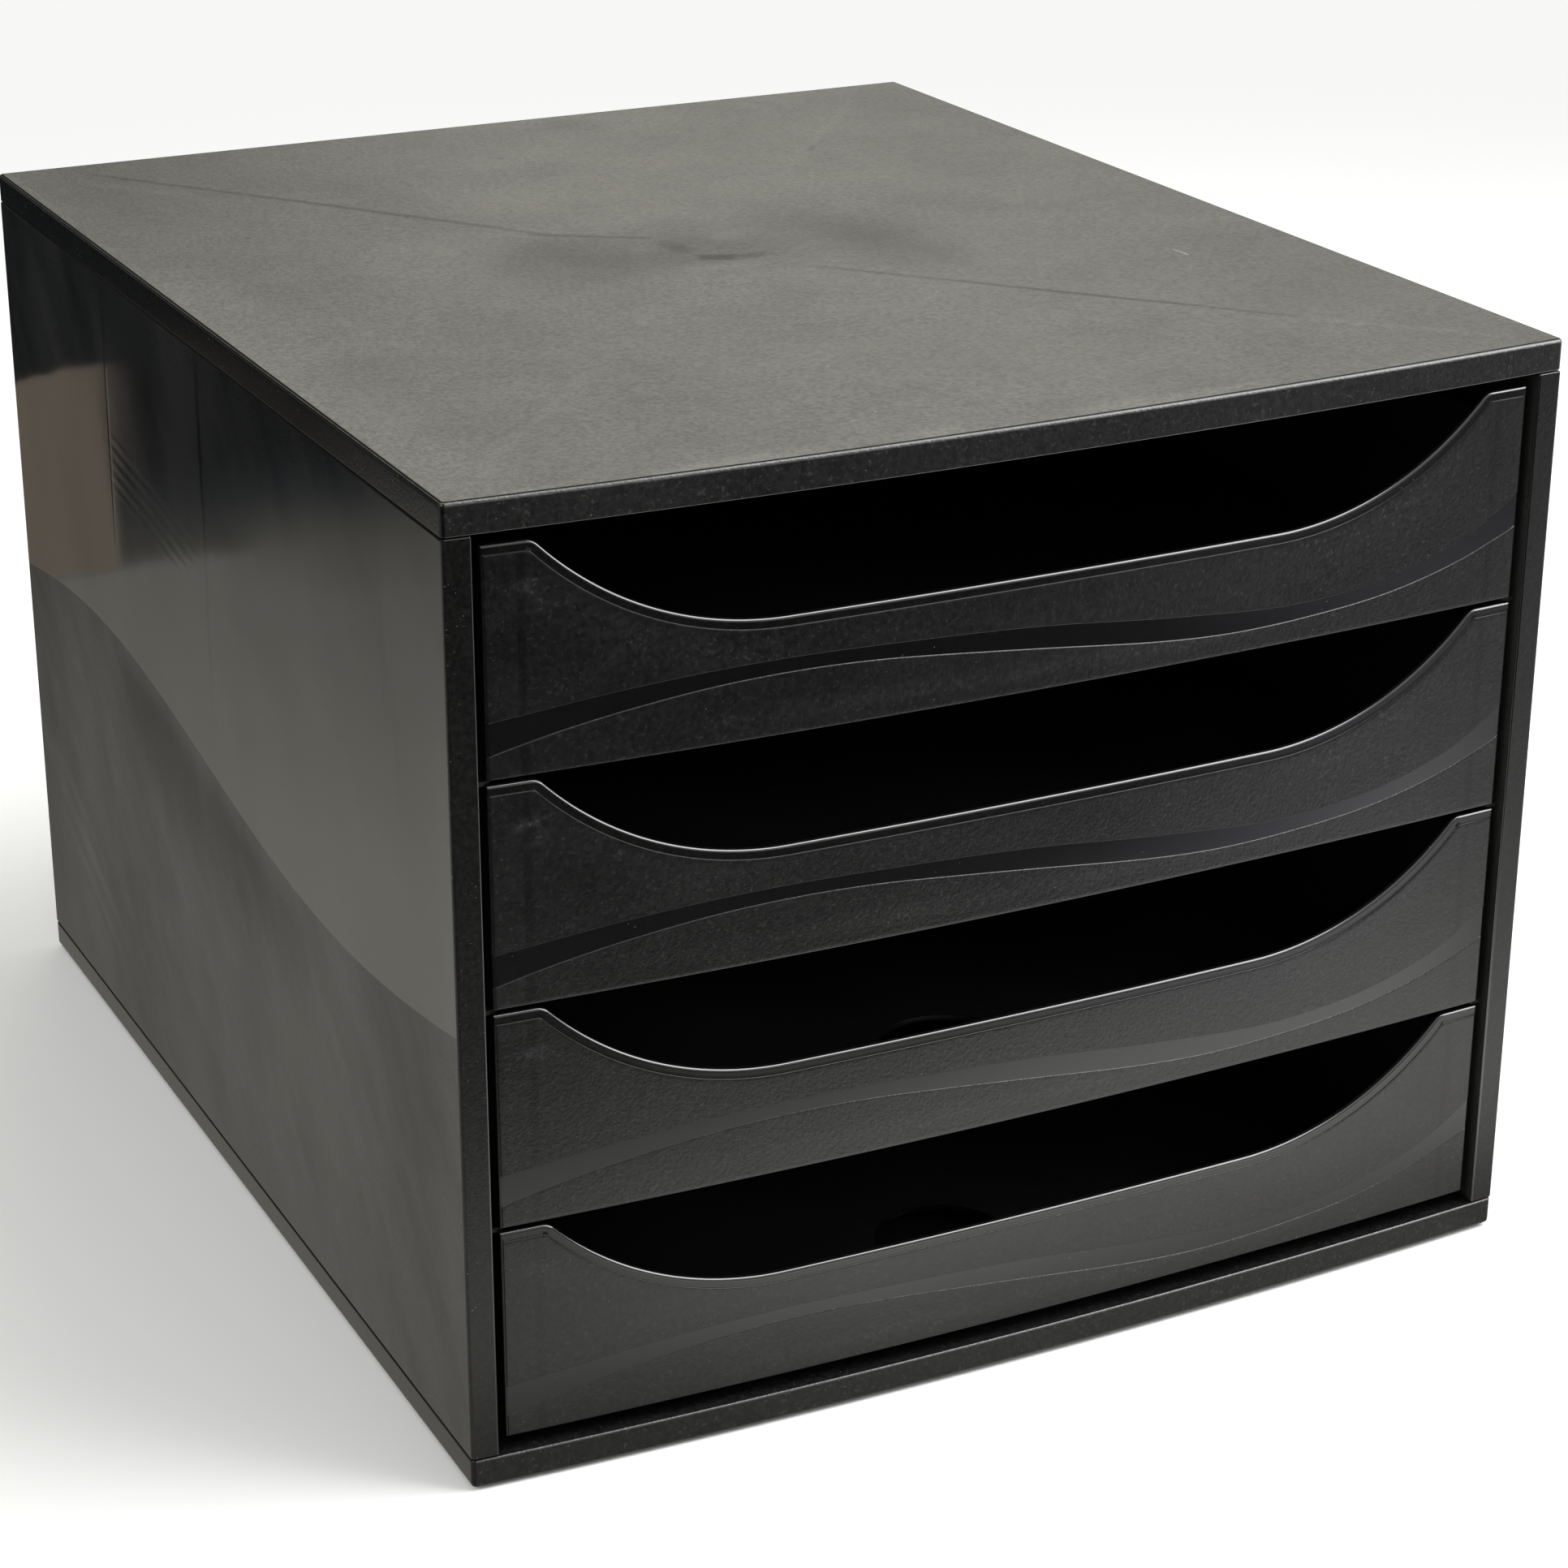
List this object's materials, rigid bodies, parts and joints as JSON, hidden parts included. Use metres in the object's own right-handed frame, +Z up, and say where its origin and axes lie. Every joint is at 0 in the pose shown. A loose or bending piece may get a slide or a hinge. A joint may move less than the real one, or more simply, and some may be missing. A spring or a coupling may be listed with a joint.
{
  "type": "desktop drawer unit",
  "caption": "Box-shaped desktop drawer unit for A4 paper: shallow drawers with scooped, slightly bowed fronts that slide on side ledges between a top cover and a base.",
  "frame": {"origin": "middle of the underside, level with the bottom of the feet", "axes": "+Z up; the drawer fronts face -Y and the drawers pull out along -Y; +X is to the right for someone who looks at the fronts"},
  "size_m": [0.284, 0.338, 0.237],
  "materials": {
    "cover_plastic": "finely grained black polystyrene, matt on top",
    "base_plastic": "finely grained black polystyrene",
    "side_plastic": "black polystyrene, glossy above a wave and finely grained below it",
    "back_plastic": "plain black polystyrene",
    "drawer_plastic": "finely grained black polystyrene with a glossy wave band on the front",
    "foot_rubber": "matt black rubber"
  },
  "bodies": {
    "housing": {"top_cover": "cover_plastic", "base": "base_plastic", "side_panel_left": "side_plastic", "side_panel_right": "side_plastic", "back_panel": "back_plastic", "foot_front_left": "foot_rubber", "foot_front_right": "foot_rubber", "foot_back_left": "foot_rubber", "foot_back_right": "foot_rubber"},
    "drawer_1": {"drawer_1": "drawer_plastic"},
    "drawer_2": {"drawer_2": "drawer_plastic"},
    "drawer_3": {"drawer_3": "drawer_plastic"},
    "drawer_4": {"drawer_4": "drawer_plastic"}
  },
  "joints": [
    {"name": "drawer_1_slide", "type": "slide", "parent": "housing", "child": "drawer_1", "axis": [0, -1, 0], "range_m": [0, 0.25]},
    {"name": "drawer_2_slide", "type": "slide", "parent": "housing", "child": "drawer_2", "axis": [0, -1, 0], "range_m": [0, 0.25]},
    {"name": "drawer_3_slide", "type": "slide", "parent": "housing", "child": "drawer_3", "axis": [0, -1, 0], "range_m": [0, 0.25]},
    {"name": "drawer_4_slide", "type": "slide", "parent": "housing", "child": "drawer_4", "axis": [0, -1, 0], "range_m": [0, 0.25]}
  ]
}
